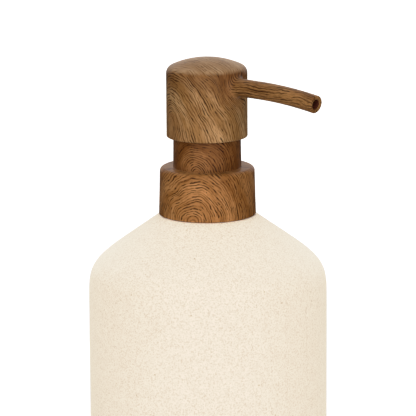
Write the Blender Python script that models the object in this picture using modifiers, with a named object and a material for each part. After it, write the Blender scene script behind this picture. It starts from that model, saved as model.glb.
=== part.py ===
"""Soap pump dispenser: a stoneware bottle with a screw-on lotion pump and a wood-effect head.

Everything is turned about the Z axis. The origin is the centre of the base pad's
underside, +Z is up and the spout points along +X. Lengths are given in millimetres
and turned into metres as the meshes are made.
"""
import math

import bmesh
import bpy
from mathutils import Matrix, Vector

MM = 0.001
GAP = 0.3                     # clearance left between pieces that touch

# Heights above the table
FOOT_Z = 0.6                  # bottle's foot ring
SHOULDER_Z = 102.1            # where the straight wall turns into the shoulder
MOUTH_Z = 131.65              # flat land around the bottle's mouth
COLLAR_BOTTOM_Z = 131.95
COLLAR_TOP_Z = 147.87
HEAD_RIM_Z = 158.18
HEAD_TOP_Z = 184.75
SPOUT_Z = 176.38              # spout's centreline where it leaves the head

# Bottle
BODY_R = 40.14
MOUTH_R = 13.9
NECK_FOOT_R = 16.3            # shoulder's top edge, flush with the collar
WALL = 4.6
FLOOR_Z = 6.7

# Threaded neck: a 28 mm finish with a 3.175 mm pitch
PITCH = 3.175
THREAD_TURNS = 1.5
THREAD_Z = 136.6              # centre of the neck thread's lower end
NECK_R = 12.5
NECK_CREST_R = 13.55
CAP_R = 13.9
CAP_CREST_R = 12.95
NECK_TOP_Z = 142.27

# Pump
STROKE = 9.8                  # how far the head goes down
STEM_R = 3.6
BARREL_R = 6.2                # bore that the piston runs in
FLANGE_Z = 144.07
GUIDE_TOP_Z = 152.4           # top of the cap that guides the stem
SOCKET_Z = GUIDE_TOP_Z + STROKE + 1.2    # foot of the head's stem socket
SPRING_FOOT_Z = 108.0
PLUG_Z = 131.6                # underside of the stem plug's flange
SEAT_Z = 100.5
INLET_BALL_R = 2.4
INLET_BALL_Z = 102.45
OUTLET_BALL_R = 2.2
OUTLET_BALL_Z = 169.2
TUBE_R = 3.3
TUBE_FOOT_Z = 9.5

# Head and spout
HEAD_R = 13.58
HEAD_CORNER_R = 2.8
DOME_R = 28.8
HEAD_INNER_R = 12.1
HEAD_CORE_Z = 172.8           # underside of the head core's flange
BOSS_TOP_Z = HEAD_CORE_Z - STROKE - 0.8  # top of the slim tube that stands on the collar
SPOUT_R = 2.97
SPOUT_BORE_R = 1.95
SPOUT_REACH = 48.4            # from the axis to the centre of the tip
SPOUT_BEND_START = 24.0       # the spout is straight up to here, then bends down
SPOUT_BEND = 0.00605          # change of slope per millimetre beyond that

TURN_STEPS = 40               # facets round the large shells
INNER_STEPS = 24              # facets round the small inner pieces
THREAD_STEPS = 28             # facets per turn of a thread

MATERIALS = {
    "stoneware": ((0.93, 0.87, 0.76), 0.55, 0.0),
    "wood_film_head": ((0.33, 0.19, 0.09), 0.38, 0.0),
    "wood_film_collar": ((0.32, 0.17, 0.08), 0.38, 0.0),
    "white_plastic": ((0.86, 0.86, 0.84), 0.35, 0.0),
    "clear_plastic": ((0.78, 0.80, 0.80), 0.25, 0.0),
    "grey_seal": ((0.35, 0.35, 0.36), 0.6, 0.0),
    "foam": ((0.12, 0.12, 0.12), 0.9, 0.0),
    "adhesive": ((0.75, 0.68, 0.45), 0.4, 0.0),
    "steel": ((0.70, 0.70, 0.72), 0.2, 1.0),
    "glass_bead": ((0.55, 0.70, 0.62), 0.08, 0.0),
}


# ---------------------------------------------------------------- scene helpers

def clear_scene():
    """Remove the objects of the scene that the script starts in."""
    for item in list(bpy.data.objects):
        bpy.data.objects.remove(item, do_unlink=True)


def new_collection(name):
    """A collection linked to the scene."""
    collection = bpy.data.collections.new(name)
    bpy.context.scene.collection.children.link(collection)
    return collection


def material(piece_name, look):
    """A Principled material for one piece, from the table of looks."""
    colour, roughness, metallic = MATERIALS[look]
    made = bpy.data.materials.new(piece_name)
    made.use_nodes = True
    shader = made.node_tree.nodes["Principled BSDF"]
    shader.inputs["Base Color"].default_value = (*colour, 1.0)
    shader.inputs["Roughness"].default_value = roughness
    shader.inputs["Metallic"].default_value = metallic
    made.diffuse_color = (*colour, 1.0)
    return made


def place(piece, look=None):
    """Link a piece to the model's collection, or to the cutters if it has no look."""
    if look is None:
        cutters.objects.link(piece)
        piece.hide_render = True
        piece.display_type = "WIRE"
    else:
        model.objects.link(piece)
        piece.data.materials.append(material(piece.name, look))
    return piece


def axis_empty(name, height, parent=None):
    """The frame of a moving body: an empty on the joint's axis."""
    empty = bpy.data.objects.new(name, None)
    model.objects.link(empty)
    empty.location.z = height * MM
    empty.empty_display_size = 0.01
    if parent is not None:
        ride_on(empty, parent)
    return empty


def ride_on(piece, parent):
    """Parent a piece without moving it."""
    height = Vector((0, 0, 0))
    above = parent
    while above is not None:
        height += above.location
        above = above.parent
    piece.location -= height
    piece.parent = parent


# ---------------------------------------------------------------- outlines

def arc(centre, radius, start, end, steps):
    """Points of an arc in the (r, z) plane; angles in degrees from the +r direction."""
    angles = [math.radians(start + (end - start) * i / steps) for i in range(steps + 1)]
    return [(centre[0] + radius * math.cos(a), centre[1] + radius * math.sin(a)) for a in angles]


def bezier(start, start_handle, end_handle, end, steps):
    """Points of a cubic curve, both ends included."""
    points = []
    for i in range(steps + 1):
        t = i / steps
        weights = ((1 - t) ** 3, 3 * t * (1 - t) ** 2, 3 * t * t * (1 - t), t ** 3)
        corners = (start, start_handle, end_handle, end)
        points.append(tuple(sum(w * c[k] for w, c in zip(weights, corners)) for k in (0, 1)))
    return points


def rounded(corners, steps=2):
    """A closed outline whose corners (r, z, radius) are rounded; radius may be left out."""
    points = []
    count = len(corners)
    for i, corner in enumerate(corners):
        here = Vector(corner[:2])
        radius = corner[2] if len(corner) > 2 else 0.0
        if not radius:
            points.append(tuple(here))
            continue
        before = (Vector(corners[i - 1][:2]) - here).normalized()
        after = (Vector(corners[(i + 1) % count][:2]) - here).normalized()
        half = before.angle(after) / 2
        centre = here + (before + after).normalized() * radius / math.sin(half)
        first = here + before * radius / math.tan(half) - centre
        last = here + after * radius / math.tan(half) - centre
        sweep = first.angle_signed(last)
        for j in range(steps + 1):
            turn = Matrix.Rotation(-sweep * j / steps, 2)
            points.append(tuple(centre + turn @ first))
    return points


# ---------------------------------------------------------------- solids

def turned(name, outline, steps, look=None, closed=True):
    """Turn an outline about Z. It runs down the outer side and back up the inner side.

    With closed False the outline starts and ends on the axis.
    """
    foot = min(z for _, z in outline)
    mesh = bpy.data.meshes.new(name)
    points = [(r * MM, 0.0, (z - foot) * MM) for r, z in outline]
    edges = [(i, i + 1) for i in range(len(points) - 1)]
    if closed:
        edges.append((len(points) - 1, 0))
    mesh.from_pydata(points, edges, [])
    piece = bpy.data.objects.new(name, mesh)
    piece.location.z = foot * MM
    place(piece, look)
    screw = piece.modifiers.new("turn", "SCREW")
    screw.axis = "Z"
    screw.steps = steps
    screw.render_steps = steps
    screw.use_merge_vertices = True
    screw.merge_threshold = 0.000001
    screw.use_smooth_shade = True
    return piece


def swept(name, stations):
    """A cutter swept through stations (centre, direction, radius), capped at both ends."""
    body = bmesh.new()
    sides = 20
    rings = []
    for centre, direction, radius in stations:
        across = Vector((0, 1, 0))
        up = direction.cross(across).normalized()
        ring = []
        for i in range(sides):
            angle = 2 * math.pi * (i + 0.5) / sides
            offset = (across * math.cos(angle) + up * math.sin(angle)) * radius
            ring.append(body.verts.new((centre + offset) * MM))
        rings.append(ring)
    skin(body, rings, sides)
    return solid_from(body, name)


def skin(body, rings, sides):
    """Join neighbouring rings of vertices with quads and cap both ends."""
    for lower, upper in zip(rings, rings[1:]):
        for i in range(sides):
            j = (i + 1) % sides
            body.faces.new((lower[i], lower[j], upper[j], upper[i]))
    body.faces.new(rings[0])
    body.faces.new(rings[-1])


def solid_from(body, name):
    """Finish a bmesh as a cutter object with its faces pointing out."""
    bmesh.ops.recalc_face_normals(body, faces=body.faces)
    mesh = bpy.data.meshes.new(name)
    body.to_mesh(mesh)
    body.free()
    return place(bpy.data.objects.new(name, mesh))


def box_cutter(name, centre, size, tilt=0.0):
    """A box cutter, tilted about Y by an angle in degrees."""
    body = bmesh.new()
    bmesh.ops.create_cube(body, size=1.0)
    bmesh.ops.scale(body, verts=body.verts, vec=Vector(size) * MM)
    cutter = solid_from(body, name)
    cutter.location = Vector(centre) * MM
    cutter.rotation_euler.y = math.radians(tilt)
    return cutter


def rod_cutter(name, start, end, radius, sides=20):
    """A straight round cutter from one point to another."""
    body = bmesh.new()
    run = Vector(end) - Vector(start)
    bmesh.ops.create_cone(body, cap_ends=True, segments=sides, radius1=radius * MM,
                          radius2=radius * MM, depth=run.length * MM)
    cutter = solid_from(body, name)
    cutter.location = (Vector(start) + run / 2) * MM
    cutter.rotation_euler = run.to_track_quat("Z", "Y").to_euler()
    return cutter


def combine(piece, operation, *others):
    """Add Boolean modifiers: operation is UNION or DIFFERENCE."""
    for other in others:
        boolean = piece.modifiers.new(other.name, "BOOLEAN")
        boolean.operation = operation
        boolean.solver = "EXACT"
        boolean.object = other
    return piece


def thread_ridge(name, root_r, crest_r, start_z):
    """A right-handed helical ridge whose two ends run out into the wall."""
    body = bmesh.new()
    count = round(THREAD_TURNS * THREAD_STEPS)
    run_out = 3
    rings = []
    for i in range(count + 1):
        turn = (i + 0.5) / THREAD_STEPS       # half a facet round from the wall's own edges
        angle = 2 * math.pi * turn
        z = start_z + PITCH * turn
        rise = min(1.0, 0.12 + min(i, count - i) / run_out)
        crest = root_r + (crest_r - root_r) * rise
        inset = 0.3 if crest_r > root_r else -0.3
        section = ((root_r - inset, -1.15), (crest, -0.45), (crest, 0.45), (root_r - inset, 1.15))
        rings.append([body.verts.new(Vector((r * math.cos(angle), r * math.sin(angle), z + dz)) * MM)
                      for r, dz in section])
    skin(body, rings, 4)
    return solid_from(body, name)


# ---------------------------------------------------------------- bottle and neck

def make_bottle():
    """Hollow stoneware body: straight wall, sloping shoulder, plain hole for the neck."""
    floor = [(0.0, FLOOR_Z)]
    inner_r = BODY_R - WALL
    corner = arc((inner_r - 6.0, FLOOR_Z + 6.0), 6.0, -90, 0, 4)
    inner_shoulder = bezier((inner_r, SHOULDER_Z - 0.6), (inner_r, SHOULDER_Z + 11.4),
                            (MOUTH_R + 19.4, 110.5), (MOUTH_R, 124.6), 7)
    lip = [(MOUTH_R, MOUTH_Z), (NECK_FOOT_R - 0.2, MOUTH_Z)]
    slope = math.radians(35.87)
    outer_shoulder = bezier((NECK_FOOT_R, MOUTH_Z - 0.06),
                            (NECK_FOOT_R + 29.1 * math.cos(slope), MOUTH_Z - 0.06 - 29.1 * math.sin(slope)),
                            (BODY_R, SHOULDER_Z + 14.39), (BODY_R, SHOULDER_Z), 12)
    foot = arc((BODY_R - 3.0, FOOT_Z + 3.0), 3.0, 0, -90, 4)
    recess = [(35.0, FOOT_Z), (35.0, 1.7), (0.0, 1.7)]
    outline = floor + corner + inner_shoulder + lip + outer_shoulder + foot + recess
    return turned("bottle", outline, TURN_STEPS, "stoneware", closed=False)


def make_base_pad():
    """Foam disc let into the foot; it stands just proud so that the bottle rests on it."""
    outline = [(0.0, 1.4), (34.4, 1.4), (34.6, 1.2), (34.6, 0.2), (34.4, 0.0), (0.0, 0.0)]
    return turned("base_pad", outline, TURN_STEPS, "foam", closed=False)


def make_neck_insert():
    """Plastic neck glued into the bottle: spigot, flange and one and a half turns of thread."""
    outline = rounded([
        (NECK_R, NECK_TOP_Z, 0.4), (NECK_R, 133.2), (14.7, 133.2, 0.3), (14.7, 131.95),
        (NECK_R, 131.95), (NECK_R, 124.5), (11.1, 124.5), (11.1, NECK_TOP_Z, 0.3)])
    neck = turned("neck_insert", outline, THREAD_STEPS, "white_plastic")
    return combine(neck, "UNION", thread_ridge("neck_thread", NECK_R, NECK_CREST_R, THREAD_Z))


def make_neck_bond():
    """Ring of adhesive that holds the neck insert in the stoneware."""
    outline = [(13.55, 131.3), (13.55, 125.0), (12.85, 125.0), (12.85, 131.3)]
    return turned("neck_bond", outline, INNER_STEPS, "adhesive")


# ---------------------------------------------------------------- collar

def make_screw_cap():
    """Threaded inner cap: it turns freely round the cylinder and clamps its flange down."""
    outline = rounded([
        (9.4, 146.57), (14.75, 146.57, 0.6), (14.75, 133.6, 0.2), (CAP_R, 133.6, 0.2),
        (CAP_R, 145.57), (9.4, 145.57)])
    cap = turned("screw_cap", outline, THREAD_STEPS, "white_plastic")
    ridge = thread_ridge("cap_thread", CAP_R, CAP_CREST_R, THREAD_Z - PITCH / 2)
    return combine(cap, "UNION", ridge)


def make_collar_shell():
    """Two-tier outer shell: a tapered collar and the slim boss that slides into the head."""
    outline = rounded([
        (6.4, BOSS_TOP_Z), (11.25, BOSS_TOP_Z, 0.9), (11.42, COLLAR_TOP_Z, 0.25),
        (15.87, COLLAR_TOP_Z, 1.31), (NECK_FOOT_R, COLLAR_BOTTOM_Z, 0.35),
        (15.05, COLLAR_BOTTOM_Z), (15.05, 146.87, 0.7), (10.6, 146.87), (10.5, 161.2, 0.5),
        (6.4, 161.2)])
    return turned("collar_shell", outline, TURN_STEPS, "wood_film_collar")


# ---------------------------------------------------------------- pump

def make_neck_gasket():
    """Flat ring squeezed between the neck's rim and the cylinder's flange."""
    outline = [(13.2, 143.77), (13.2, 142.57), (8.0, 142.57), (8.0, 143.77)]
    return turned("neck_gasket", outline, INNER_STEPS, "grey_seal")


def make_pump_cylinder():
    """Housing: flange, barrel, ball chamber with its seat, and the socket for the dip tube."""
    outline = [
        (9.1, 151.0), (9.1, FLANGE_Z + 1.2), (13.2, FLANGE_Z + 1.2), (13.2, FLANGE_Z),
        (7.2, FLANGE_Z), (7.2, 105.5), (4.7, 102.5), (4.7, 90.0), (TUBE_R + GAP, 90.0),
        (TUBE_R + GAP, 99.2), (1.9, 99.2), (1.9, SEAT_Z), (3.1, SEAT_Z + 1.2), (3.1, 106.2),
        (BARREL_R, 106.2), (BARREL_R, 143.5), (8.2, 145.5), (8.2, 151.0)]
    cylinder = turned("pump_cylinder", outline, INNER_STEPS, "white_plastic")
    aim = Matrix.Rotation(2 * math.pi * 6.5 / INNER_STEPS, 3, "Z") @ Vector((1, 0, 0))
    height = Vector((0, 0, 141.5))
    vent = rod_cutter("vent_cutter", height + aim * 4.0, height + aim * 9.0, 0.7, 12)
    return combine(cylinder, "DIFFERENCE", vent)


def make_stem_guide():
    """Cap that closes the cylinder, guides the stem and stops the piston at the top."""
    outline = [
        (10.2, GUIDE_TOP_Z - 0.4), (10.2, 146.87), (9.4, 146.87), (9.4, 151.3), (7.9, 151.3),
        (7.9, 146.0), (5.85, 144.0), (5.85, 139.3), (4.2, 139.3), (4.2, 149.3), (6.4, 149.3),
        (6.4, GUIDE_TOP_Z), (9.8, GUIDE_TOP_Z)]
    return turned("stem_guide", outline, INNER_STEPS, "white_plastic")


def make_stem_wiper():
    """Soft ring in the top of the guide that wipes the stem."""
    outline = [(6.1, 152.1), (6.1, 149.6), (4.6, 149.6), (3.9, 150.4), (3.9, 151.2), (4.6, 152.1)]
    return turned("stem_wiper", outline, INNER_STEPS, "grey_seal")


def make_ball_cage():
    """Slotted disc that keeps the inlet ball down and carries the foot of the spring."""
    outline = [
        (3.4, SPRING_FOOT_Z + 2.0), (3.4, SPRING_FOOT_Z), (5.9, SPRING_FOOT_Z), (5.9, 106.5),
        (1.4, 106.5), (1.4, SPRING_FOOT_Z + 2.0)]
    cage = turned("ball_cage", outline, INNER_STEPS, "white_plastic")
    slots = [box_cutter("cage_slot_x", (0, 0, 106.9), (7.6, 1.2, 1.4)),
             box_cutter("cage_slot_y", (0, 0, 106.9), (1.2, 7.6, 1.4))]
    return combine(cage, "DIFFERENCE", *slots)


def make_ball(name, radius, height, look):
    """A check-valve ball."""
    bpy.ops.mesh.primitive_uv_sphere_add(segments=16, ring_count=9, radius=radius * MM,
                                         location=(0, 0, height * MM))
    ball = bpy.context.object
    ball.name = name
    ball.data.name = name
    ball.data.shade_smooth()
    for collection in list(ball.users_collection):
        collection.objects.unlink(ball)
    return place(ball, look)


def make_dip_tube():
    """Suction tube down to the floor, with its foot cut at an angle."""
    outline = [(TUBE_R, 98.9), (TUBE_R, TUBE_FOOT_Z), (2.4, TUBE_FOOT_Z), (2.4, 98.9)]
    tube = turned("dip_tube", outline, 24, "clear_plastic")
    foot = box_cutter("tube_foot_cutter", (0, 0, TUBE_FOOT_Z - 4.2), (30.0, 20.0, 12.0), tilt=28.0)
    return combine(tube, "DIFFERENCE", foot)


def make_return_spring():
    """Compression spring between the ball cage and the stem plug."""
    turns = 8.5
    points_per_turn = 11
    wire_r = 0.45
    coil_r = 4.4
    bottom = SPRING_FOOT_Z + GAP + wire_r
    top = PLUG_Z - GAP - wire_r
    count = round(turns * points_per_turn) + 1
    curve = bpy.data.curves.new("return_spring", "CURVE")
    curve.dimensions = "3D"
    curve.bevel_depth = wire_r * MM
    curve.bevel_resolution = 2
    curve.use_fill_caps = True
    wire = curve.splines.new("POLY")
    wire.points.add(count - 1)
    for i, point in enumerate(wire.points):
        angle = 2 * math.pi * i / points_per_turn
        height = (top - bottom) * i / (count - 1)
        point.co = (coil_r * math.cos(angle) * MM, coil_r * math.sin(angle) * MM, height * MM, 1.0)
    spring = bpy.data.objects.new("return_spring", curve)
    spring.location.z = bottom * MM
    return place(spring, "steel")


# ---------------------------------------------------------------- piston and stem

def make_piston_seal():
    """Double-lipped piston that runs in the cylinder's bore."""
    outline = [
        (5.95, 139.0), (5.95, 138.4), (5.3, 137.2), (5.3, 135.2), (5.95, 134.0), (5.95, 133.4),
        (3.9, 133.4), (3.9, 139.0)]
    return turned("piston_seal", outline, INNER_STEPS, "grey_seal")


def make_stem():
    """Hollow piston rod; the outlet ball sits on the step near its top."""
    outline = [
        (STEM_R, 172.0), (STEM_R, 133.9), (2.2, 133.9), (2.2, 141.0), (1.7, 141.8), (1.7, 167.5),
        (2.75, 167.5), (2.75, 172.0)]
    return turned("stem", outline, INNER_STEPS, "white_plastic")


def make_stem_plug():
    """Plug in the foot of the stem: it carries the piston from below and seats the spring."""
    outline = [
        (1.85, 140.6), (1.85, PLUG_Z + 1.5), (5.5, PLUG_Z + 1.5), (5.5, PLUG_Z), (3.4, PLUG_Z),
        (3.4, PLUG_Z - 2.6), (1.2, PLUG_Z - 2.6), (1.2, 140.6)]
    return turned("stem_plug", outline, INNER_STEPS, "white_plastic")


# ---------------------------------------------------------------- head

def spout_point(reach):
    """Centre and direction of the spout at a distance from the axis."""
    bent = max(0.0, reach - SPOUT_BEND_START)
    centre = Vector((reach, 0.0, SPOUT_Z - SPOUT_BEND * bent * bent / 2))
    direction = Vector((1.0, 0.0, -SPOUT_BEND * bent)).normalized()
    return centre, direction


def make_spout():
    """Tapering root, straight run, downward bend and a rounded tip."""
    root_start, root_end, flare = 11.9, 16.6, 1.9
    stations = []
    for i in range(6):
        reach = root_start + (root_end - root_start) * i / 5
        widening = flare * (1 - i / 5) ** 2.2
        stations.append((*spout_point(reach), SPOUT_R + widening))
    for reach in (20.5, SPOUT_BEND_START, 28.5, 33.0, 37.5, 41.5, 45.0):
        stations.append((*spout_point(reach), SPOUT_R))
    for back, inset in ((0.32, 0.0), (0.09, 0.09), (0.0, 0.3)):
        stations.append((*spout_point(SPOUT_REACH - back), SPOUT_R - inset))
    return swept("spout_outer", stations)


def make_spout_bore():
    """The channel through the spout, opening out slightly at the tip."""
    stations = [(*spout_point(reach), SPOUT_BORE_R)
                for reach in (9.0, SPOUT_BEND_START, 30.0, 36.0, 42.0, SPOUT_REACH - 0.35)]
    stations.append((*spout_point(SPOUT_REACH + 0.4), SPOUT_BORE_R + 0.25))
    return swept("spout_bore", stations)


def make_head_shell():
    """Domed outer head with its spout in one piece, hollow underneath."""
    corner_centre = (HEAD_R - HEAD_CORNER_R, HEAD_TOP_Z - DOME_R + math.sqrt(
        (DOME_R - HEAD_CORNER_R) ** 2 - (HEAD_R - HEAD_CORNER_R) ** 2))
    rise = math.degrees(math.asin((corner_centre[1] - HEAD_TOP_Z + DOME_R) / (DOME_R - HEAD_CORNER_R)))
    dome = arc((0.0, HEAD_TOP_Z - DOME_R), DOME_R, 90, rise, 6)
    dome[0] = (0.0, HEAD_TOP_Z)
    corner = arc(corner_centre, HEAD_CORNER_R, rise, 0, 5)[1:]
    rim = arc((HEAD_R - 0.4, HEAD_RIM_Z + 0.4), 0.4, 0, -90, 2)
    outline = dome + corner + rim + [(0.0, HEAD_RIM_Z)]
    shell = turned("head_shell", outline, TURN_STEPS, "wood_film_head", closed=False)
    hollow = turned("head_hollow", [(0.0, 182.4), (9.8, 181.6), (HEAD_INNER_R, 179.0),
                                    (HEAD_INNER_R, HEAD_RIM_Z - 1.0), (0.0, HEAD_RIM_Z - 1.0)],
                    TURN_STEPS, closed=False)
    hollow.rotation_euler.z = math.pi / TURN_STEPS       # half a facet, clear of the rim's edges
    combine(shell, "UNION", make_spout())
    return combine(shell, "DIFFERENCE", hollow, make_spout_bore())


def make_head_core():
    """Inner actuator: socket for the stem, flange and the pipe that leads to the spout."""
    socket_r = STEM_R + GAP
    outline = [
        (0.0, 179.6), (4.2, 179.6), (4.6, 179.2), (4.6, HEAD_CORE_Z + 1.4),
        (11.8, HEAD_CORE_Z + 1.4), (11.8, HEAD_CORE_Z), (5.3, HEAD_CORE_Z), (5.3, SOCKET_Z),
        (socket_r, SOCKET_Z), (socket_r, 172.3), (2.6, 172.3), (2.6, 172.9), (1.6, 172.9),
        (1.6, 177.8), (0.0, 177.8)]
    core = turned("head_core", outline, INNER_STEPS, "white_plastic", closed=False)
    pipe = rod_cutter("outlet_pipe", (2.0, 0, SPOUT_Z), (HEAD_INNER_R - 0.4, 0, SPOUT_Z), 2.7)
    channel = rod_cutter("outlet_channel", (0.7, 0, SPOUT_Z), (HEAD_INNER_R + 2, 0, SPOUT_Z), 1.5)
    bypass = box_cutter("ball_bypass", (0, 0, 173.2), (4.6, 1.0, 1.3))
    combine(core, "UNION", pipe)
    return combine(core, "DIFFERENCE", channel, bypass)


# ---------------------------------------------------------------- assembly

def build():
    """Make every piece and hang the moving ones on the frames of their joints."""
    make_bottle()
    make_base_pad()
    make_neck_insert()
    make_neck_bond()
    pump = axis_empty("pump_frame", FLANGE_Z)
    collar = axis_empty("collar_axis", COLLAR_BOTTOM_Z, pump)
    piston = axis_empty("piston_axis", 133.4, pump)
    head = axis_empty("head_axis", HEAD_RIM_Z, piston)
    inlet = axis_empty("inlet_ball_axis", INLET_BALL_Z, pump)
    outlet = axis_empty("outlet_ball_axis", OUTLET_BALL_Z, head)
    riders = {
        pump: (make_neck_gasket(), make_pump_cylinder(), make_stem_guide(), make_stem_wiper(),
               make_ball_cage(), make_dip_tube(), make_return_spring()),
        collar: (make_screw_cap(), make_collar_shell()),
        piston: (make_piston_seal(),),
        head: (make_stem(), make_stem_plug(), make_head_core(), make_head_shell()),
        inlet: (make_ball("inlet_ball", INLET_BALL_R, INLET_BALL_Z, "steel"),),
        outlet: (make_ball("outlet_ball", OUTLET_BALL_R, OUTLET_BALL_Z, "glass_bead"),),
    }
    for frame, pieces in riders.items():
        for piece in pieces:
            ride_on(piece, frame)


clear_scene()
model = new_collection("soap_pump_dispenser")
cutters = new_collection("cutters")
build()
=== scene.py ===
"""Looks of the soap pump dispenser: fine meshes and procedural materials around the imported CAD.

Lengths are in millimetres until a mesh is made. The places of the pieces come from the frame.
"""
import math

import bmesh
import bpy
from mathutils import Matrix, Quaternion, Vector


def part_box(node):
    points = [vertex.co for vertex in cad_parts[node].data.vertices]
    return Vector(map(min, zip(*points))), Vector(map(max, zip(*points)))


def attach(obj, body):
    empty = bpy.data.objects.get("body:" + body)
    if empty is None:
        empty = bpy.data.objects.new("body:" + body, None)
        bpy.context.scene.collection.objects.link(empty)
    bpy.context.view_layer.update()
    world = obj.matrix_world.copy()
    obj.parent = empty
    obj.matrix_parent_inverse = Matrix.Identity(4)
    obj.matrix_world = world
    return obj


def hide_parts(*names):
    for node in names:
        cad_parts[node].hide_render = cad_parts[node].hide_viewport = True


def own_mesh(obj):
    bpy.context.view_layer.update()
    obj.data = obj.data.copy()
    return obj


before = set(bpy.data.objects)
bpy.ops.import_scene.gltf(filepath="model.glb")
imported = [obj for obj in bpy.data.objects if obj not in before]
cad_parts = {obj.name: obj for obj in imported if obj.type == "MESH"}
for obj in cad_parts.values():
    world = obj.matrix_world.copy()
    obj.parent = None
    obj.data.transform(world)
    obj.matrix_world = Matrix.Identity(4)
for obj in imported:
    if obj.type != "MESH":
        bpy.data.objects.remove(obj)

MM = 0.001
FINE = 192                     # facets round the bottle
ROUND = 160                    # facets round the collar and head

# Camera: a long lens, looking down a little, with the spout turned towards it
CAMERA_PITCH = 12.0
CAMERA_TURN = -47.0            # direction from the axis to the camera, measured from the spout
CAMERA_DISTANCE = 1175.5
CAMERA_LENS = 302.9
CAMERA_ROLL = -0.31
AIM_Z = 133.53
AIM_SIDE = 0.18

# Studio: brightness in front of, beside, behind, above and below the object
WORLD_FRONT = 2.15
WORLD_SIDE = 0.0
WORLD_BACK = 1.25
WORLD_TOP = 0.98
WORLD_TABLE = 0.55


# ---------------------------------------------------------------- frame

def extent(node):
    """Radius, lowest and highest point of a turned CAD node, in millimetres."""
    low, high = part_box(node)
    return -low.x / MM, low.z / MM, high.z / MM


# ---------------------------------------------------------------- outlines

def arc(centre, radius, start, end, steps):
    """Points of an arc in the (r, z) plane; angles in degrees from the +r direction."""
    angles = [math.radians(start + (end - start) * i / steps) for i in range(steps + 1)]
    return [(centre[0] + radius * math.cos(a), centre[1] + radius * math.sin(a)) for a in angles]


def bezier(start, start_handle, end_handle, end, steps):
    """Points of a cubic curve, both ends included."""
    points = []
    corners = (start, start_handle, end_handle, end)
    for i in range(steps + 1):
        t = i / steps
        weights = ((1 - t) ** 3, 3 * t * (1 - t) ** 2, 3 * t * t * (1 - t), t ** 3)
        points.append(tuple(sum(w * c[k] for w, c in zip(weights, corners)) for k in (0, 1)))
    return points


def rounded(corners, steps):
    """An open outline whose corners (r, z, radius) are rounded; a corner without a radius stays sharp."""
    points = []
    for i, corner in enumerate(corners):
        here = Vector(corner[:2])
        if len(corner) == 2:
            points.append(tuple(here))
            continue
        radius = corner[2]
        before = (Vector(corners[i - 1][:2]) - here).normalized()
        after = (Vector(corners[i + 1][:2]) - here).normalized()
        half = before.angle(after) / 2
        centre = here + (before + after).normalized() * radius / math.sin(half)
        first = here + before * radius / math.tan(half) - centre
        last = here + after * radius / math.tan(half) - centre
        sweep = first.angle_signed(last)
        for j in range(steps + 1):
            points.append(tuple(centre + Matrix.Rotation(-sweep * j / steps, 2) @ first))
    return points


def run(start, end, steps):
    """Evenly spaced points after start, up to and including end."""
    return [tuple(a + (b - a) * i / steps for a, b in zip(start, end)) for i in range(1, steps + 1)]


# ---------------------------------------------------------------- meshes

def piece_from(body, name):
    """Finish a bmesh as a smooth piece with its faces pointing out."""
    bmesh.ops.recalc_face_normals(body, faces=body.faces)
    mesh = bpy.data.meshes.new(name)
    body.to_mesh(mesh)
    body.free()
    mesh.shade_smooth()
    piece = bpy.data.objects.new(name, mesh)
    bpy.context.scene.collection.objects.link(piece)
    return piece


def turned_rings(body, outline, steps):
    """Vertex rings of an outline turned about Z; a point on the axis is a single vertex."""
    rings = []
    for r, z in outline:
        if r < 1e-6:
            rings.append([body.verts.new((0, 0, z * MM))])
            continue
        ring = []
        for k in range(steps):
            angle = 2 * math.pi * k / steps
            ring.append(body.verts.new((r * math.cos(angle) * MM, r * math.sin(angle) * MM, z * MM)))
        rings.append(ring)
    return rings


def bridge(body, upper, lower, look=0, columns=None):
    """Faces between two rings of one length, or a ring and a pole; look is their material's index."""
    steps = max(len(upper), len(lower))
    for k in columns or range(steps):
        j = (k + 1) % steps
        if len(upper) == 1:
            corners = (upper[0], lower[j], lower[k])
        elif len(lower) == 1:
            corners = (upper[k], upper[j], lower[0])
        else:
            corners = (upper[k], upper[j], lower[j], lower[k])
        body.faces.new(corners).material_index = look


def turned(name, outline, steps, closed=True, inside=()):
    """An outline turned about Z. One that isn't closed makes a solid if it starts and ends on the axis.

    inside holds the outline's indices whose faces take the second material.
    """
    body = bmesh.new()
    rings = turned_rings(body, outline, steps)
    pairs = list(zip(rings, rings[1:]))
    if closed:
        pairs.append((rings[-1], rings[0]))
    for i, (upper, lower) in enumerate(pairs):
        bridge(body, upper, lower, int(i in inside))
    return piece_from(body, name)


# ---------------------------------------------------------------- bottle

NECK_R = 16.3
MOUTH_R = 13.9
MOUTH_RAISE = 0.07             # the stoneware comes up to the collar
SHOULDER_DROP = 29.55          # from the mouth down to the straight wall
SHOULDER_SLOPE = 35.87         # of the shoulder where it leaves the neck
BOTTLE_WALL = 4.6
BOTTLE_FLOOR = 6.1
FOOT_ROUND = 3.0
FOOT_RECESS = 1.1


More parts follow.
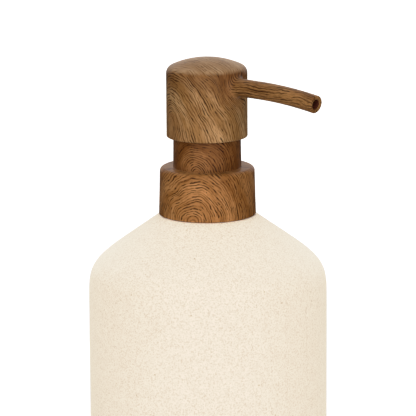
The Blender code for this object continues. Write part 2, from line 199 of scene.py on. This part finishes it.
def make_bottle():
    """Hollow stoneware body, with its lip and foot softly rounded."""
    body_r, foot_z, mouth_z = extent("bottle")
    shoulder_z = mouth_z - SHOULDER_DROP
    inner_r = body_r - BOTTLE_WALL
    floor_z = foot_z + BOTTLE_FLOOR
    slope = math.radians(SHOULDER_SLOPE)
    inner = [(0.0, floor_z)] + arc((inner_r - 6, floor_z + 6), 6.0, -90, 0, 12)
    inner += run(inner[-1], (inner_r, shoulder_z - 0.6), 4)
    inner += bezier(inner[-1], (inner_r, shoulder_z + 11.4), (MOUTH_R + 19.4, mouth_z - 21.1),
                    (MOUTH_R, mouth_z - 7.0), 20)[1:]
    mouth_z += MOUTH_RAISE
    lip = arc((MOUTH_R + 0.5, mouth_z - 0.5), 0.5, 180, 90, 4) + [(NECK_R - 0.3, mouth_z)]
    start_z = mouth_z - 0.10
    outer = bezier((NECK_R, start_z),
                   (NECK_R + 29.1 * math.cos(slope), start_z - 29.1 * math.sin(slope)),
                   (body_r, shoulder_z + 14.39), (body_r, shoulder_z), 56)
    outer += run(outer[-1], (body_r, foot_z + FOOT_ROUND), 24)
    foot = arc((body_r - FOOT_ROUND, foot_z + FOOT_ROUND), FOOT_ROUND, 0, -90, 10)[1:]
    recess = [(35.4, foot_z), (35.1, foot_z + 0.25), (35.0, foot_z + 0.7),
              (34.9, foot_z + FOOT_RECESS), (0.0, foot_z + FOOT_RECESS)]
    return turned("bottle_body", inner + lip + outer + foot + recess, FINE, closed=False)


STEP_RISE = 15.92              # from the collar's foot to the step under the boss
COLLAR_DROP = 0.12             # the foot comes down to the stoneware
COLLAR_BORE_R = 15.05
COLLAR_WALL = 1.0              # of its two ceilings
BOSS_R = 11.42
BOSS_HOLE_R = 6.4


def make_collar():
    """Two-tier shell of collar and boss."""
    foot_r, foot_z, boss_z = extent("collar_shell")
    step_z = foot_z + STEP_RISE
    foot_z -= COLLAR_DROP
    outside = rounded([(BOSS_HOLE_R, boss_z), (BOSS_R - 0.17, boss_z, 0.9), (BOSS_R, step_z, 0.18),
                       (foot_r - 0.43, step_z, 1.31), (foot_r, foot_z, 0.35), (COLLAR_BORE_R, foot_z)], 10)
    inside = rounded([(COLLAR_BORE_R, foot_z), (COLLAR_BORE_R, step_z - COLLAR_WALL, 0.7),
                      (10.6, step_z - COLLAR_WALL, 0.2), (10.5, boss_z - COLLAR_WALL, 0.5),
                      (BOSS_HOLE_R, boss_z - COLLAR_WALL)], 6)[1:]
    bare = range(len(outside) - 1, len(outside) + len(inside))
    return turned("collar_and_boss", outside + inside, ROUND, inside=bare)


# ---------------------------------------------------------------- head and spout

HEAD_WALL = 1.48
CORNER_R = 2.8                 # between the wall and the dome
DOME_R = 28.8
SPOUT_DROP = 8.37              # from the top of the dome to the spout's axis
SPOUT_R = 2.97
SPOUT_BORE_R = 1.95
SPOUT_MOUTH_R = 1.68           # the bore narrows a little at its mouth
SPOUT_FILLET = 1.8
SPOUT_BEND_START = 24.0        # distance from the axis where the spout starts to bend down
SPOUT_BEND = 0.00605           # slope gained per millimetre beyond that
PORT_COLUMNS = 11              # columns of the head's grid each side of the spout that its root takes
PORT_ROWS = 25                 # rows of the grid that it takes
PORT_FOOT_Z = 170.25           # the same rows inside the head
PORT_TOP_Z = 179.0
CEILING_Z = 182.4


class Head:
    """Sizes of the head, read from its CAD node."""

    def __init__(self):
        low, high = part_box("head_shell")
        self.radius = -low.x / MM
        self.rim_z = low.z / MM
        self.top_z = high.z / MM
        self.inner_r = self.radius - HEAD_WALL
        self.spout_z = self.top_z - SPOUT_DROP
        self.reach = high.x / MM - 0.38
        self.corner_x = self.radius - CORNER_R
        drop = math.sqrt((DOME_R - CORNER_R) ** 2 - self.corner_x ** 2)
        self.corner_z = self.top_z - DOME_R + drop
        self.rise = math.degrees(math.asin(drop / (DOME_R - CORNER_R)))

    def outer_radius(self, z):
        """Radius of the outer surface at a height on the side or the rounded corner."""
        above = max(0.0, z - self.corner_z)
        return self.corner_x + math.sqrt(CORNER_R ** 2 - above ** 2)

    def inner_radius(self, z):
        """The inner wall is straight where the bore meets it."""
        return self.inner_r

    def spout(self, reach):
        """Centre and direction of the spout at a distance from the axis."""
        bent = max(0.0, reach - SPOUT_BEND_START)
        centre = Vector((reach, 0.0, self.spout_z - SPOUT_BEND * bent * bent / 2))
        return centre, Vector((1.0, 0.0, -SPOUT_BEND * bent)).normalized()


def port_border(rows, columns):
    """Border of a rectangle in a turned grid about the +X side, once round; rows run downwards."""
    across = range(-columns, columns)
    border = [rows[0][k] for k in across]
    border += [row[columns] for row in rows[:-1]]
    border += [rows[-1][-k] for k in across]
    border += [row[-columns] for row in reversed(rows[1:])]
    return border


def grid_with_port(body, rings, port, columns, inside):
    """Faces of a turned grid, leaving out a rectangle about the +X side in the rows of port.

    Rows from inside onwards take the second material.
    """
    for i, (upper, lower) in enumerate(zip(rings, rings[1:])):
        open_columns = range(columns, len(upper) - columns) if i in port else None
        bridge(body, upper, lower, int(i >= inside), open_columns)


def wall_patch(body, border, radius, radius_at, centre_z, angles, steps):
    """Rings on a wall that lead from the border of a port in to a circle about the spout's axis.

    radius is the circle's, radius_at gives the wall's at a height, and angles are the points' about the axis.
    """
    rings = [border]
    for i in range(1, steps + 1):
        share = i / steps
        ring = []
        for vert, angle in zip(border, angles):
            y = vert.co.y / MM * (1 - share) + radius * math.cos(angle) * share
            z = vert.co.z / MM * (1 - share) + (centre_z + radius * math.sin(angle)) * share
            x = math.sqrt(radius_at(z) ** 2 - y * y)
            ring.append(body.verts.new(Vector((x, y, z)) * MM))
        rings.append(ring)
    return rings


def fillet_rings(body, head, angles, steps):
    """Concave root of the spout, tangent to the head's wall and to the spout."""
    rings = []
    for i in range(1, steps + 1):
        turn = math.pi / 2 * (1 - i / steps)
        away = SPOUT_R + SPOUT_FILLET * (1 - math.cos(turn))
        ring = []
        for angle in angles:
            y = away * math.cos(angle)
            z = head.spout_z + away * math.sin(angle)
            x = math.sqrt(head.outer_radius(z) ** 2 - y * y) + SPOUT_FILLET * (1 - math.sin(turn))
            ring.append(body.verts.new(Vector((x, y, z)) * MM))
        rings.append(ring)
    return rings


def tube_ring(body, head, reach, radius, angles):
    """One ring of the spout or of its bore."""
    centre, direction = head.spout(reach)
    across = Vector((0, 1, 0))
    up = direction.cross(across).normalized()
    return [body.verts.new((centre + (across * math.cos(a) + up * math.sin(a)) * radius) * MM)
            for a in angles]


def make_head():
    """Domed head and spout as one closed skin, from the dome to the rim and up inside."""
    head = Head()
    body = bmesh.new()
    dome = arc((0.0, head.top_z - DOME_R), DOME_R, 90, head.rise, 26)
    dome[0] = (0.0, head.top_z)
    corner = arc((head.corner_x, head.corner_z), CORNER_R, head.rise, 0, 8)[1:]
    side = run(corner[-1], (head.radius, head.rim_z + 0.4), 40)
    rim = arc((head.radius - 0.4, head.rim_z + 0.4), 0.4, 0, -90, 5)[1:]
    rim += arc((head.inner_r + 0.2, head.rim_z + 0.2), 0.2, -90, -180, 3)
    inner = run(rim[-1], (head.inner_r, PORT_FOOT_Z), 14)
    inner += run((head.inner_r, PORT_FOOT_Z), (head.inner_r, PORT_TOP_Z), PORT_ROWS)
    ceiling = bezier(inner[-1], (head.inner_r, 181.0), (9.0, 182.0), (0.0, CEILING_Z), 16)[1:]
    outline = dome + corner + side + rim + inner + ceiling
    rings = turned_rings(body, outline, ROUND)
    first = len(dome)                                     # the first row below the dome's edge
    last = first + PORT_ROWS
    inner_top = len(outline) - len(ceiling) - 1
    inner_foot = inner_top - PORT_ROWS
    lining = len(outline) - len(inner) - len(ceiling)
    grid_with_port(body, rings, [*range(first, last), *range(inner_foot, inner_top)], PORT_COLUMNS, lining)

    border = port_border(rings[first:last + 1], PORT_COLUMNS)
    angles = [math.atan2(v.co.z / MM - head.spout_z, v.co.y / MM) for v in border]
    skin = wall_patch(body, border, SPOUT_R + SPOUT_FILLET, head.outer_radius, head.spout_z, angles, 4)
    skin += fillet_rings(body, head, angles, 9)
    root = head.radius + SPOUT_FILLET
    tip = head.reach
    for i in range(1, 31):
        skin.append(tube_ring(body, head, root + (tip - 0.4 - root) * i / 30, SPOUT_R, angles))
    for away, along in arc((SPOUT_R - 0.3, tip - 0.03 - 0.3), 0.3, 0, 90, 6):
        skin.append(tube_ring(body, head, along, away, angles))
    for away, along in arc((SPOUT_MOUTH_R + 0.25, tip - 0.03 - 0.25), 0.25, 90, 180, 5):
        skin.append(tube_ring(body, head, along, away, angles))
    bore_start = len(skin) - 1
    for i in range(1, 25):
        reach = tip - 0.28 + (head.inner_r + 0.6 - tip) * i / 24
        radius = SPOUT_MOUTH_R + (SPOUT_BORE_R - SPOUT_MOUTH_R) * min(1.0, i / 6)
        skin.append(tube_ring(body, head, reach, radius, angles))
    inner_border = port_border(rings[inner_foot:inner_top + 1][::-1], PORT_COLUMNS)
    skin += wall_patch(body, inner_border, SPOUT_BORE_R, head.inner_radius, head.spout_z, angles, 4)[::-1]
    for i, (upper, lower) in enumerate(zip(skin, skin[1:])):
        bridge(body, upper, lower, int(i >= bore_start))
    return piece_from(body, "head_and_spout")


# ---------------------------------------------------------------- spring

WIRE_R = 0.45
COIL_R = 4.4
COIL_TURNS = 8.5


def make_spring():
    """Round wire wound into the return spring."""
    low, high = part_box("return_spring")
    per_turn = 40
    count = round(COIL_TURNS * per_turn)
    foot_z = low.z / MM + WIRE_R
    height = high.z / MM - WIRE_R - foot_z
    body = bmesh.new()
    rings = []
    for i in range(count + 1):
        angle = 2 * math.pi * i / per_turn
        away = Vector((math.cos(angle), math.sin(angle), 0))
        centre = away * COIL_R + Vector((0, 0, foot_z + height * i / count))
        along = Vector((-away.y, away.x, height / (COIL_TURNS * 2 * math.pi * COIL_R))).normalized()
        up = along.cross(away)
        section = [2 * math.pi * k / 14 for k in range(14)]
        rings.append([body.verts.new((centre + (away * math.cos(a) + up * math.sin(a)) * WIRE_R) * MM)
                      for a in section])
    for upper, lower in zip(rings, rings[1:]):
        bridge(body, upper, lower)
    body.faces.new(rings[0])
    body.faces.new(rings[-1])
    return piece_from(body, "coil_spring")


# ---------------------------------------------------------------- materials

def add(tree, kind, inputs=None, **settings):
    """A shader node; an input is given a value or another node's socket."""
    made = tree.nodes.new(kind)
    for key, value in settings.items():
        setattr(made, key, value)
    for key, value in (inputs or {}).items():
        socket = made.inputs[key]
        if isinstance(value, bpy.types.NodeSocket):
            tree.links.new(value, socket)
        else:
            socket.default_value = value
    return made


def maths(tree, operation, first, second=0.0, third=0.0):
    """Result of a Math node."""
    return add(tree, "ShaderNodeMath", {0: first, 1: second, 2: third}, operation=operation).outputs[0]


def vector(tree, operation, first, second=(0, 0, 0)):
    """Result of a Vector Math node: a number for a length, distance or dot product, otherwise a vector."""
    made = add(tree, "ShaderNodeVectorMath", {0: first, 1: second}, operation=operation)
    return made.outputs["Value" if operation in ("LENGTH", "DISTANCE", "DOT_PRODUCT") else "Vector"]


def smooth(tree, value, low, high):
    """0 below low, 1 above high, smooth between."""
    return add(tree, "ShaderNodeMapRange", {"Value": value, "From Min": low, "From Max": high},
               interpolation_type="SMOOTHSTEP").outputs["Result"]


def noise(tree, place, scale, detail=2.0, roughness=0.5, w=None):
    """Noise value about 0.5; with w it is four-dimensional."""
    inputs = {"Vector": place, "Scale": scale, "Detail": detail, "Roughness": roughness}
    if w is not None:
        inputs["W"] = w
    return add(tree, "ShaderNodeTexNoise", inputs,
               noise_dimensions="4D" if w is not None else "3D").outputs[0]


def ramp(tree, factor, stops):
    """Colour ramp through (position, linear colour) stops."""
    made = add(tree, "ShaderNodeValToRGB", {"Fac": factor})
    while len(made.color_ramp.elements) < len(stops):
        made.color_ramp.elements.new(0.5)
    for element, (position, colour) in zip(made.color_ramp.elements, stops):
        element.position = position
        element.color = (*colour, 1.0)
    return made.outputs["Color"]


def mix(tree, factor, first, second, kind="MIX"):
    """Blend of two colours."""
    made = add(tree, "ShaderNodeMix", {"Factor": factor}, data_type="RGBA", blend_type=kind)
    for socket, value in ((made.inputs[6], first), (made.inputs[7], second)):
        if isinstance(value, bpy.types.NodeSocket):
            tree.links.new(value, socket)
        else:
            socket.default_value = (*value, 1.0)
    return made.outputs[2]


def new_material(name, roughness, metallic=0.0):
    """An empty Principled material: its node tree, shader and place in millimetres."""
    made = bpy.data.materials.new(name)
    made.use_nodes = True
    tree = made.node_tree
    shader = tree.nodes["Principled BSDF"]
    shader.inputs["Roughness"].default_value = roughness
    shader.inputs["Metallic"].default_value = metallic
    where = add(tree, "ShaderNodeTexCoord").outputs["Object"]
    place = vector(tree, "MULTIPLY", where, (1 / MM, 1 / MM, 1 / MM))
    return made, tree, shader, place


def bump(tree, shader, height, distance, strength):
    """Fine relief; distance is its depth in millimetres."""
    made = add(tree, "ShaderNodeBump", {"Height": height, "Distance": distance * MM, "Strength": strength})
    tree.links.new(made.outputs["Normal"], shader.inputs["Normal"])


def specks(tree, place, spacing, size, share):
    """Scattered dots: 1 inside a dot; only a share of the cells hold one."""
    cells = add(tree, "ShaderNodeTexVoronoi", {"Vector": place, "Scale": 1 / spacing})
    inside = maths(tree, "SUBTRACT", 1.0, smooth(tree, cells.outputs["Distance"], size * 0.5, size))
    pick = add(tree, "ShaderNodeSeparateColor", {"Color": cells.outputs["Color"]}).outputs[0]
    chosen = maths(tree, "LESS_THAN", pick, share)
    return maths(tree, "MULTIPLY", inside, chosen)


def stoneware():
    """Matte cream stoneware: faint mottling and fine grey-brown specks."""
    made, tree, shader, place = new_material("stoneware_cream", 0.62)
    cloud = noise(tree, place, 0.30, 3.0)
    fine = noise(tree, place, 1.9, 3.0, 0.65)
    colour = ramp(tree, cloud, [(0.35, (0.772, 0.656, 0.552)), (0.65, (0.804, 0.688, 0.577))])
    colour = mix(tree, smooth(tree, fine, 0.42, 0.72), colour, (0.575, 0.480, 0.405))
    tiny = specks(tree, place, 0.62, 0.36, 0.45)
    colour = mix(tree, maths(tree, "MULTIPLY", tiny, 0.50), colour, (0.42, 0.37, 0.32))
    larger = specks(tree, place, 2.3, 0.15, 0.12)
    colour = mix(tree, maths(tree, "MULTIPLY", larger, 0.55), colour, (0.25, 0.19, 0.13))
    tree.links.new(colour, shader.inputs["Base Color"])
    tree.links.new(maths(tree, "MULTIPLY_ADD", fine, 0.15, 0.55), shader.inputs["Roughness"])
    shader.inputs["Diffuse Roughness"].default_value = 1.0
    shader.inputs["Sheen Weight"].default_value = 0.6
    shader.inputs["Sheen Roughness"].default_value = 0.6
    shader.inputs["Sheen Tint"].default_value = (1.0, 0.91, 0.74, 1.0)
    bump(tree, shader, fine, 0.03, 0.6)
    return made


def outwards(turn):
    """Level direction on the object by its turn from the spout, in degrees."""
    return Vector((math.cos(math.radians(turn)), math.sin(math.radians(turn)), 0))


def arches(tree, place, turn, z, radius, stretch, lean=0.0):
    """Field whose level lines are arches on a round wall, with straight legs below their centre.

    turn, in degrees from the spout, and z place the centre; stretch draws the arches out along Z;
    lean slopes their legs.
    """
    ahead = vector(tree, "DOT_PRODUCT", place, outwards(turn))
    aside = vector(tree, "DOT_PRODUCT", place, outwards(turn + 90))
    angle = maths(tree, "ABSOLUTE", maths(tree, "ARCTAN2", aside, ahead))
    height = maths(tree, "SUBTRACT", add(tree, "ShaderNodeSeparateXYZ", {"Vector": place}).outputs["Z"], z)
    above = maths(tree, "MULTIPLY", maths(tree, "MAXIMUM", height, 0.0), 1.0 / stretch)
    around = maths(tree, "MULTIPLY", angle, radius)
    offset = add(tree, "ShaderNodeCombineXYZ", {"X": around, "Y": above}).outputs[0]
    return maths(tree, "MULTIPLY_ADD", height, lean, vector(tree, "LENGTH", offset))


def film_grain(tree, place, field, colours, dash_rate=0.30, density=1.1):
    """Wood-grain print: fine lines, some of them dark dashes, that follow the field's level lines.

    colours are the light and middle wood, the lines and the dashes. dash_rate is how often dashes start
    and stop along a line, and density how many lines there are across, both for each millimetre.
    """
    light, middle, dark, deep = colours
    sway = maths(tree, "MULTIPLY", maths(tree, "SUBTRACT", noise(tree, place, 0.09, 1.0), 0.5), 4.0)
    ripple = maths(tree, "MULTIPLY", maths(tree, "SUBTRACT", noise(tree, place, 0.45, 1.0), 0.5), 0.7)
    flow = maths(tree, "ADD", field, maths(tree, "ADD", sway, ripple))
    broad = along_grain(tree, place, flow, 0.06, 0.30, 2.0)
    colour = ramp(tree, broad, [(0.38, middle), (0.60, light)])
    shift = along_grain(tree, place, flow, 0.12, 0.45, 1.0)
    turns = maths(tree, "MULTIPLY_ADD", flow, density, maths(tree, "MULTIPLY", shift, 2.0))
    wave = maths(tree, "COSINE", maths(tree, "MULTIPLY", turns, 2 * math.pi))
    streak = along_grain(tree, place, flow, 0.20, 1.3, 2.0)
    lines = maths(tree, "MULTIPLY", smooth(tree, wave, -0.5, 0.8), smooth(tree, streak, 0.36, 0.60))
    fuzz = along_grain(tree, place, flow, 0.7, 3.0, 1.0)
    colour = mix(tree, maths(tree, "MULTIPLY", smooth(tree, fuzz, 0.48, 0.66), 0.35), colour, dark)
    colour = mix(tree, maths(tree, "MULTIPLY", lines, 0.82), colour, dark)
    cluster = maths(tree, "MULTIPLY", maths(tree, "SUBTRACT", noise(tree, place, 0.16, 1.0), 0.5), 0.5)
    picked = maths(tree, "ADD", along_grain(tree, place, flow, dash_rate, 0.8, 1.0), cluster)
    dashes = maths(tree, "MULTIPLY", smooth(tree, wave, 0.1, 0.8), smooth(tree, picked, 0.53, 0.60))
    return mix(tree, maths(tree, "MULTIPLY", dashes, 0.86), colour, deep), streak


def along_grain(tree, place, flow, along, across, detail):
    """Noise drawn out along the grain: so many changes a millimetre along it and across it."""
    slow = vector(tree, "MULTIPLY", place, (along, along, along))
    return noise(tree, slow, 1.0, detail, 0.55, w=maths(tree, "MULTIPLY", flow, across))


def finish_film(tree, shader, colour, streak):
    """Satin surface of the printed film."""
    shader.inputs["Specular IOR Level"].default_value = 0.07
    tree.links.new(colour, shader.inputs["Base Color"])
    tree.links.new(maths(tree, "MULTIPLY_ADD", streak, 0.16, 0.30), shader.inputs["Roughness"])
    bump(tree, shader, streak, 0.02, 0.35)


# Wood colours: light wood, middle wood, lines, dashes
HEAD_WOOD = ((0.40, 0.243, 0.108), (0.28, 0.146, 0.049), (0.105, 0.037, 0.0065), (0.034, 0.009, 0.0012))
DOME_WOOD = ((0.37, 0.240, 0.128), (0.29, 0.170, 0.080), (0.19, 0.095, 0.036), (0.13, 0.060, 0.020))
SPOUT_WOOD = ((0.31, 0.155, 0.052), (0.205, 0.088, 0.024), (0.048, 0.014, 0.003), (0.034, 0.009, 0.0012))
COLLAR_WOOD = ((0.405, 0.204, 0.072), (0.275, 0.118, 0.030), (0.125, 0.040, 0.0065), (0.036, 0.009, 0.001))

# Centres of the arches in the print, by their turn from the spout
HEAD_ARCH_TURN = -109.0
HEAD_ARCH_Z = 164.5
COLLAR_ARCH_TURN = -64.0
DOME_GRAIN_TURN = 88.0         # direction across the straight grain of the dome


def head_film():
    """Wood film on the head and spout: olive tan, with arches low on one side of the head."""
    made, tree, shader, place = new_material("wood_film_olive", 0.38)
    head = Head()
    field = arches(tree, place, HEAD_ARCH_TURN, HEAD_ARCH_Z, head.radius, 1.7, 0.42)
    root = vector(tree, "DISTANCE", place, (head.radius, 0.0, head.spout_z))
    knot = maths(tree, "MULTIPLY", smooth(tree, root, 9.0, 1.0), 5.0)
    wall, streak = film_grain(tree, place, maths(tree, "ADD", field, knot), HEAD_WOOD)
    across = vector(tree, "DOT_PRODUCT", place, outwards(DOME_GRAIN_TURN))
    dome, _ = film_grain(tree, place, across, DOME_WOOD)
    parts = add(tree, "ShaderNodeSeparateXYZ", {"Vector": place}).outputs
    # Painted shade: the wall is darker high up, round the spout's root and near the centre of the arches
    wall = mix(tree, smooth(tree, parts["Z"], 171.0, 181.0), wall, (0.68, 0.57, 0.48), "MULTIPLY")
    wall = mix(tree, smooth(tree, root, 11.0, 4.0), wall, (0.74, 0.60, 0.48), "MULTIPLY")
    wall = mix(tree, smooth(tree, field, 9.0, 1.0), wall, (0.78, 0.67, 0.56), "MULTIPLY")

    on_dome = smooth(tree, parts["Z"], head.corner_z + 0.9, head.corner_z + 2.4)
    wall = mix(tree, on_dome, wall, dome)

    # On the spout the lines run along it: the field is the angle about its bent axis
    bent = maths(tree, "MAXIMUM", maths(tree, "SUBTRACT", parts["X"], SPOUT_BEND_START), 0.0)
    drop = maths(tree, "MULTIPLY", maths(tree, "MULTIPLY", bent, bent), SPOUT_BEND / 2)
    above = maths(tree, "ADD", maths(tree, "SUBTRACT", parts["Z"], head.spout_z), drop)
    angle = maths(tree, "ARCTAN2", above, parts["Y"])
    skewed = maths(tree, "MULTIPLY_ADD", parts["X"], 0.08, maths(tree, "MULTIPLY", angle, SPOUT_R))
    spout, _ = film_grain(tree, place, skewed, SPOUT_WOOD, 0.16)
    on_spout = smooth(tree, parts["X"], head.radius - 0.6, head.radius + 2.6)
    finish_film(tree, shader, mix(tree, on_spout, wall, spout), streak)
    return made


def collar_film():
    """Redder wood film on the collar and boss, each with arches of its own."""
    made, tree, shader, place = new_material("wood_film_red", 0.38)
    foot_r, foot_z, _ = extent("collar_shell")
    lower = arches(tree, place, COLLAR_ARCH_TURN, foot_z - 0.4, foot_r, 1.15)
    upper = arches(tree, place, COLLAR_ARCH_TURN, foot_z + 15.6, 11.4, 1.1)
    height = add(tree, "ShaderNodeSeparateXYZ", {"Vector": place}).outputs["Z"]
    above = maths(tree, "GREATER_THAN", height, foot_z + STEP_RISE + 0.03)
    field = add(tree, "ShaderNodeMix", {0: above, 2: lower, 3: upper}, data_type="FLOAT").outputs[0]
    colour, streak = film_grain(tree, place, field, COLLAR_WOOD, 0.60, 1.3)
    # Painted shade: the collar is a little darker away from the centre of the arches, at its sides
    below = mix(tree, smooth(tree, field, 9.0, 19.0), colour, (0.86, 0.81, 0.76), "MULTIPLY")
    # The boss is darker all over: partly a darker print, partly painted shade under the head
    boss = mix(tree, 1.0, colour, (0.72, 0.64, 0.58), "MULTIPLY")
    # Painted shade: the boss is darker still away from the centre of the arches, at its sides
    boss = mix(tree, smooth(tree, field, 5.0, 12.0), boss, (0.76, 0.68, 0.60), "MULTIPLY")
    finish_film(tree, shader, mix(tree, above, below, boss), streak)
    return made


def plastic(name, colour, roughness, variation=0.04):
    """Moulded plastic or rubber: faint cloudiness and a fine satin texture."""
    made, tree, shader, place = new_material(name, roughness)
    cloud = noise(tree, place, 0.35, 2.0)
    darker = tuple(c * (1 - variation * 2) for c in colour)
    tree.links.new(ramp(tree, cloud, [(0.35, darker), (0.65, colour)]), shader.inputs["Base Color"])
    grain = noise(tree, place, 6.0, 2.0)
    tree.links.new(maths(tree, "MULTIPLY_ADD", grain, 0.12, roughness - 0.06), shader.inputs["Roughness"])
    bump(tree, shader, grain, 0.01, 0.5)
    return made


def steel():
    """Drawn stainless wire and ball."""
    made, tree, shader, place = new_material("stainless", 0.22, 1.0)
    drawn = noise(tree, vector(tree, "MULTIPLY", place, (1.0, 1.0, 6.0)), 2.0, 2.0)
    colour = ramp(tree, drawn, [(0.3, (0.50, 0.50, 0.51)), (0.7, (0.66, 0.66, 0.67))])
    tree.links.new(colour, shader.inputs["Base Color"])
    tree.links.new(maths(tree, "MULTIPLY_ADD", drawn, 0.15, 0.14), shader.inputs["Roughness"])
    return made


def dress(piece, *looks):
    """Give a piece its material, or one for its outside and one for its inside."""
    slots = piece.data.materials
    for i, look in enumerate(looks):
        if i < len(slots):
            slots[i] = look
        else:
            slots.append(look)


# ---------------------------------------------------------------- stage

def bearing(turn, rise):
    """Direction by its turn to the right of the camera's direction and its rise, in degrees."""
    angle = math.radians(CAMERA_TURN + turn)
    lift = math.radians(rise)
    return Vector((math.cos(angle) * math.cos(lift), math.sin(angle) * math.cos(lift), math.sin(lift)))


def white_screen(name, glow):
    """Pale paper with a glow of its own, for the floor and the backdrop."""
    made, tree, shader, place = new_material(name, 0.9)
    shader.inputs["Specular IOR Level"].default_value = 0.0
    tone = ramp(tree, noise(tree, place, 0.002, 2.0), [(0.3, (0.92, 0.92, 0.92)), (0.7, (0.93, 0.93, 0.93))])
    tree.links.new(tone, shader.inputs["Base Color"])
    shader.inputs["Emission Color"].default_value = (1, 1, 1, 1)
    shader.inputs["Emission Strength"].default_value = glow
    return made


def make_floor():
    """Pale floor and the white screen round it. Neither lights the object: the studio does all of that."""
    floor = turned("floor", [(0.0, 0.0), (8000.0, 0.0)], 96, closed=False)
    screen = turned("screen", [(7990.0, 0.0), (7990.0, 6000.0)], 96, closed=False)
    screen.visible_shadow = False
    for piece, glow in ((floor, 0.35), (screen, 1.0)):
        dress(piece, white_screen("pale_" + piece.name, glow))
        piece.visible_diffuse = False
        piece.visible_glossy = False


def make_studio():
    """Studio round the object: walls bright in front of it, softer behind it and dark at its sides."""
    world = bpy.data.worlds.new("studio")
    world.use_nodes = True
    tree = world.node_tree
    direction = add(tree, "ShaderNodeTexCoord").outputs["Generated"]
    level = vector(tree, "NORMALIZE", vector(tree, "MULTIPLY", direction, (1, 1, 0)))
    # facing is 1 in front of the object and 0 behind it
    facing = maths(tree, "MULTIPLY_ADD", vector(tree, "DOT_PRODUCT", level, bearing(0, 0)), 0.5, 0.5)
    front = ramp(tree, facing, [(0.72, (WORLD_SIDE,) * 3), (0.90, (WORLD_FRONT,) * 3)])
    behind = ramp(tree, facing, [(0.10, (WORLD_BACK,) * 3), (0.26, (0, 0, 0))])
    height = add(tree, "ShaderNodeSeparateXYZ", {"Vector": direction}).outputs["Z"]
    walls = mix(tree, smooth(tree, height, -0.20, 0.10), front, behind, "ADD")
    tone = mix(tree, smooth(tree, height, 0.35, 0.75), walls, (WORLD_TOP,) * 3)
    table = smooth(tree, maths(tree, "MULTIPLY", height, -1.0), 0.30, 0.50)
    tone = mix(tree, table, tone, (WORLD_TABLE,) * 3)
    back = tree.nodes["Background"]
    tree.links.new(tone, back.inputs["Color"])
    bpy.context.scene.world = world


def camera_response():
    """Plain colours with a soft shoulder, so that the pale stoneware keeps its tone to its edges."""
    view = bpy.context.scene.view_settings
    view.view_transform = "Standard"
    view.use_curve_mapping = True
    curve = view.curve_mapping.curves[3]
    for shade, shown in ((0.35, 0.35), (0.69, 0.79), (0.89, 0.915)):
        curve.points.new(shade, shown)
    view.curve_mapping.update()


def make_camera():
    """The camera on its long lens."""
    data = bpy.data.cameras.new("camera")
    data.lens = CAMERA_LENS
    data.sensor_width = 36.0
    data.clip_end = 50.0
    camera = bpy.data.objects.new("camera", data)
    bpy.context.scene.collection.objects.link(camera)
    towards = bearing(0, CAMERA_PITCH)
    right = bearing(90, 0)
    aim = (Vector((0, 0, AIM_Z)) + right * AIM_SIDE) * MM
    camera.location = aim + towards * CAMERA_DISTANCE * MM
    upright = towards.to_track_quat("Z", "Y")
    camera.rotation_euler = (upright @ Quaternion((0, 0, 1), math.radians(CAMERA_ROLL))).to_euler()
    bpy.context.scene.camera = camera


# ---------------------------------------------------------------- assembly

def corners(box):
    """A box as plain lists of numbers."""
    return [[float(value) for value in corner] for corner in box]


def build_scene():
    """Make every piece around the frame and dress the CAD nodes that stay."""
    make_camera()
    make_floor()
    make_studio()
    camera_response()

    brown = plastic("brown_plastic", (0.100, 0.024, 0.012), 0.40, 0.08)
    metal = steel()
    spring = make_spring()
    shown = {
        "bottle": (make_bottle(), [stoneware()], "bottle_body", "stoneware"),
        "collar_shell": (make_collar(), [collar_film(), brown], "collar_body", "wood_film_collar"),
        "head_shell": (make_head(), [head_film(), brown], "head_body", "wood_film_head"),
        "return_spring": (spring, [metal], "pump_body", "steel"),
    }
    for node, (piece, looks, body, slot) in shown.items():
        dress(piece, *looks)
        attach(piece, body)
        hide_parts(node)
    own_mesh(spring)

    white = plastic("white_plastic", (0.80, 0.80, 0.77), 0.38)
    natural = plastic("natural_plastic", (0.74, 0.76, 0.74), 0.32)
    tube = plastic("tube_plastic", (0.72, 0.75, 0.75), 0.22)
    seal = plastic("grey_rubber", (0.10, 0.10, 0.105), 0.62, 0.10)
    foam = plastic("black_foam", (0.02, 0.02, 0.021), 0.92, 0.20)
    glue = plastic("cured_adhesive", (0.55, 0.46, 0.22), 0.35)
    bead = plastic("polished_bead", (0.30, 0.45, 0.36), 0.08)
    inner_looks = {
        "base_pad": foam, "neck_insert": white, "neck_bond": glue, "neck_gasket": seal,
        "screw_cap": white, "pump_cylinder": natural, "stem_guide": white, "stem_wiper": seal,
        "ball_cage": white, "inlet_ball": metal, "dip_tube": tube,
        "piston_seal": seal, "stem": white, "stem_plug": white, "outlet_ball": bead,
        "head_core": white,
    }
    for node, look in inner_looks.items():
        dress(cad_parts[node], look)


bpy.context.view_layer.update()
build_scene()
